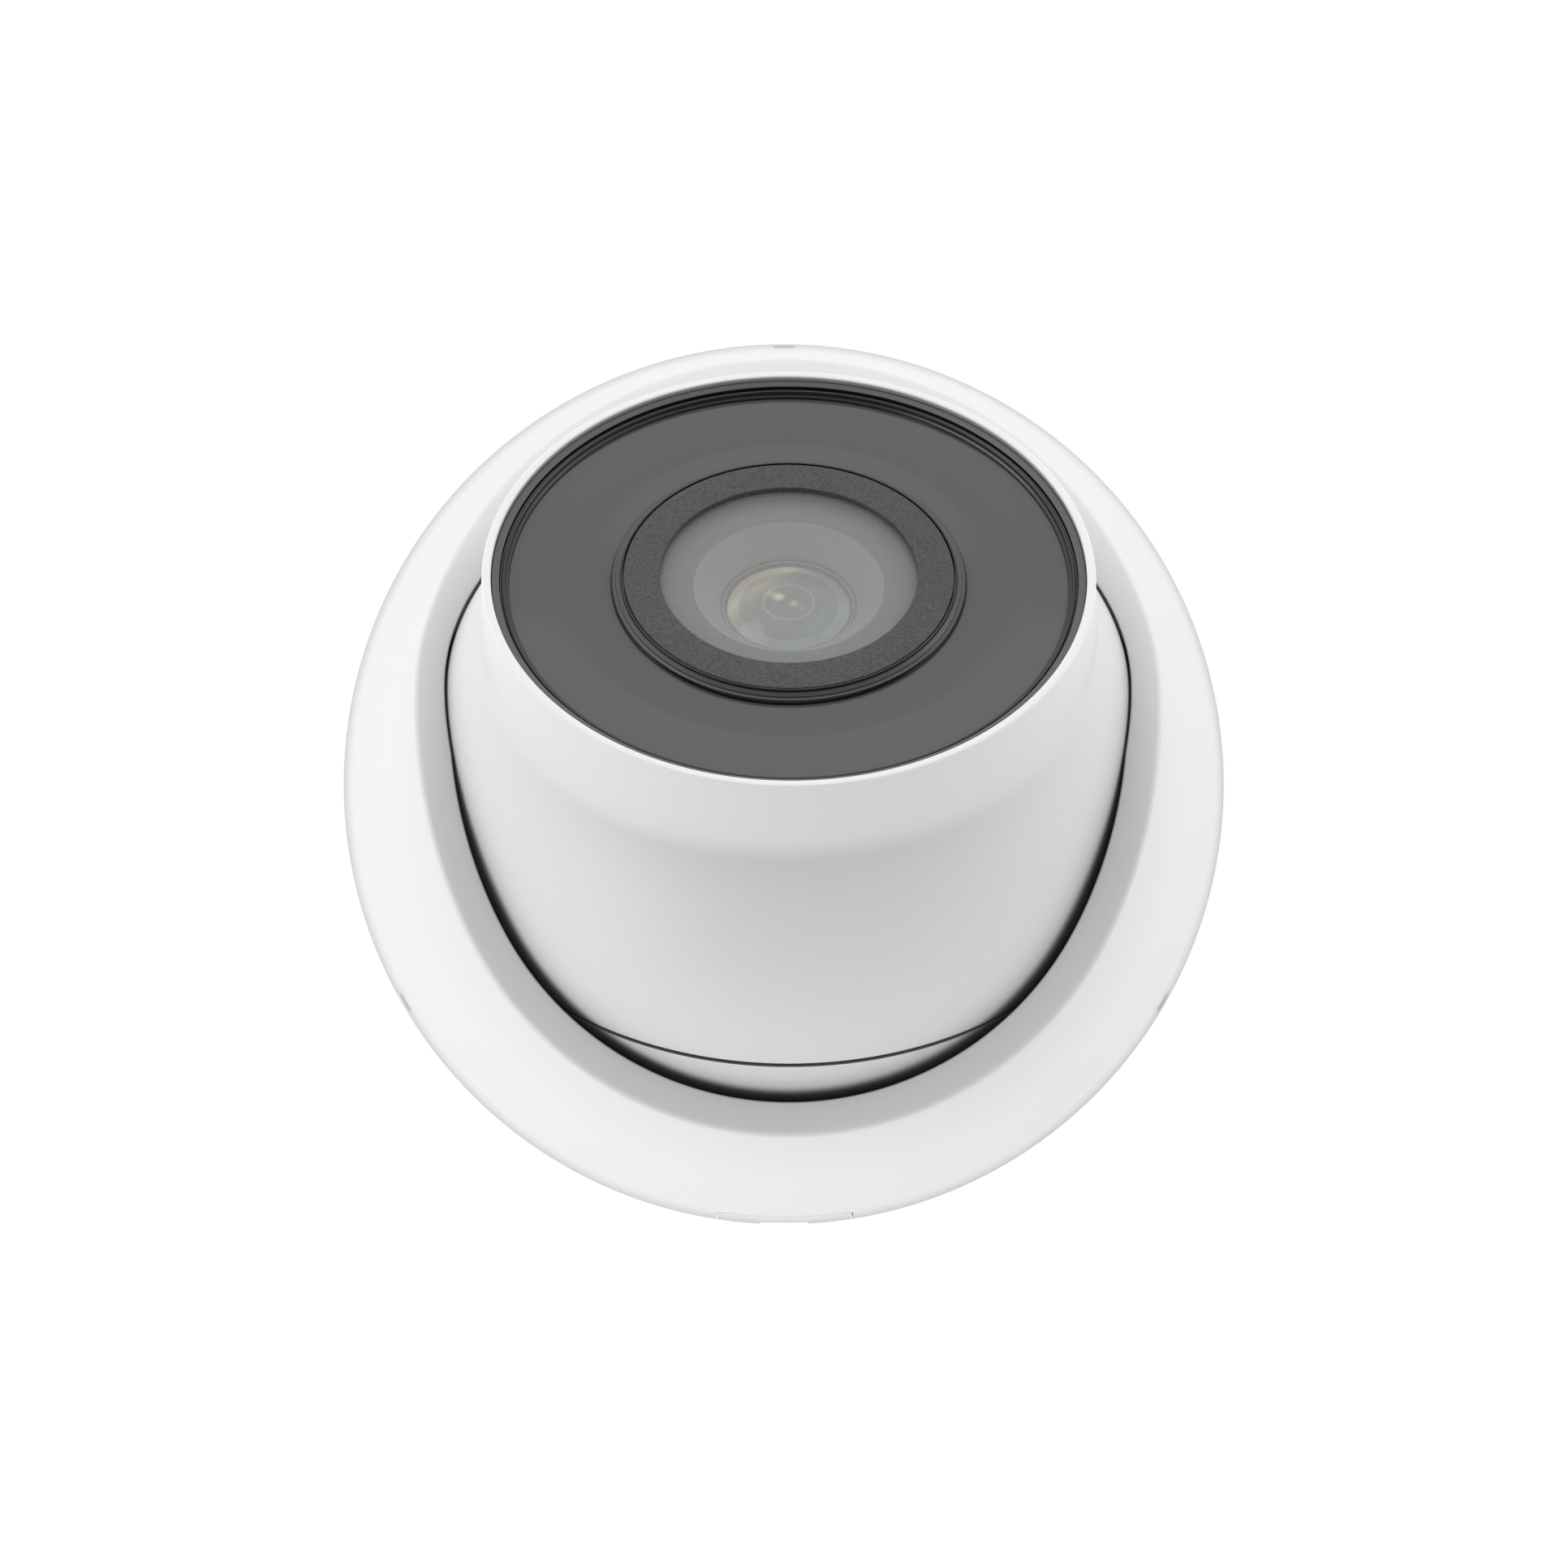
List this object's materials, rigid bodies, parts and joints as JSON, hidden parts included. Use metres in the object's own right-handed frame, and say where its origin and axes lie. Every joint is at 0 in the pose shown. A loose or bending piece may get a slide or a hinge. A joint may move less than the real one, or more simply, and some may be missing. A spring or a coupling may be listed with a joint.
{
  "type": "turret security camera",
  "caption": "White turret security camera: a ball with a flared snout, dark round window and lens, leaning in a conical trim ring on a flat round mounting base.",
  "frame": {"origin": "centre of the round mounting face, on the wall or ceiling", "axes": "+Z leaves the mounting face along the axis of the base; the lens leans towards -Y, 44.6 degrees from +Z; X is across the camera"},
  "size_m": [0.11, 0.1099, 0.093],
  "materials": {
    "white_shell": "satin white, moulded",
    "white_base": "moulded white plastic",
    "black_seal": "matte black rubber",
    "friction_pad": "soft grey pad",
    "slip_washer": "natural acetal",
    "steel_screw": "zinc plated",
    "bezel_black": "gloss black",
    "smoked_window": "smoked acrylic that passes infra-red",
    "collar_gloss": "gloss black",
    "trap_matte": "matte black, finely textured",
    "clear_glass": "clear glass",
    "coated_glass": "coated optical glass",
    "lens_black": "anodised black",
    "plate_aluminium": "plain aluminium",
    "board_green": "green circuit board",
    "chip_black": "black moulded package",
    "magnet_steel": "nickel plated magnet",
    "lamp_clear": "clear epoxy",
    "ribbon_film": "amber film",
    "bag_paper": "white paper sachet"
  },
  "bodies": {
    "base": {"mounting_base": "white_base", "base_gasket": "black_seal", "pan_washer": "slip_washer"},
    "enclosure": {"trim_ring": "white_shell", "outlet_plug": "white_shell", "pan_retainer": "white_base", "retainer_screws": "steel_screw", "seat_cup": "white_base", "cup_screws": "steel_screw", "friction_pads": "friction_pad"},
    "saddle": {"tilt_saddle": "white_base"},
    "ball": {"board_connectors": "chip_black", "board_screws": "steel_screw", "board_standoffs": "steel_screw", "cable_gland": "black_seal", "capacitors": "plate_aluminium", "chassis_plate": "plate_aluminium", "chassis_screws": "steel_screw", "cover_glass": "clear_glass", "desiccant_bag": "bag_paper", "element_retainer": "lens_black", "filter_coil": "chip_black", "front_element": "coated_glass", "front_housing": "white_shell", "heat_sink": "plate_aluminium", "housing_screws": "steel_screw", "housing_seal": "black_seal", "image_sensor": "chip_black", "ir_leds": "lamp_clear", "ir_window": "smoked_window", "led_board": "board_green", "lens_barrel": "lens_black", "lens_collar": "collar_gloss", "lens_holder": "trap_matte", "lens_hood": "trap_matte", "light_sensor": "lamp_clear", "light_trap": "trap_matte", "main_board": "board_green", "main_chip": "chip_black", "middle_element": "coated_glass", "rear_element": "coated_glass", "rear_housing": "white_shell", "ribbon_cable": "ribbon_film", "sensor_board": "board_green", "sensor_standoffs": "steel_screw", "thermal_pad": "friction_pad", "window_bezel": "bezel_black", "window_gasket": "black_seal"},
    "filter": {"filter_slide": "trap_matte", "filter_magnet": "magnet_steel", "ir_cut_filter": "coated_glass", "clear_filter": "clear_glass"}
  },
  "joints": [
    {"name": "pan", "type": "hinge", "parent": "base", "child": "enclosure", "pos_m": [0, 0, 0], "axis": [0, 0, 1], "range_deg": [-180, 180]},
    {"name": "tilt", "type": "hinge", "parent": "enclosure", "child": "saddle", "pos_m": [0, 0, 0.0456], "axis": [1, 0, 0], "range_deg": [-44.6, 30.4]},
    {"name": "lens_rotation", "type": "hinge", "parent": "saddle", "child": "ball", "pos_m": [0, 0, 0.0456], "axis": [0, -0.7022, 0.712], "range_deg": [-180, 180]},
    {"name": "filter_switch", "type": "slide", "parent": "ball", "child": "filter", "axis": [1, 0, 0], "range_m": [0, 0.0062]}
  ]
}
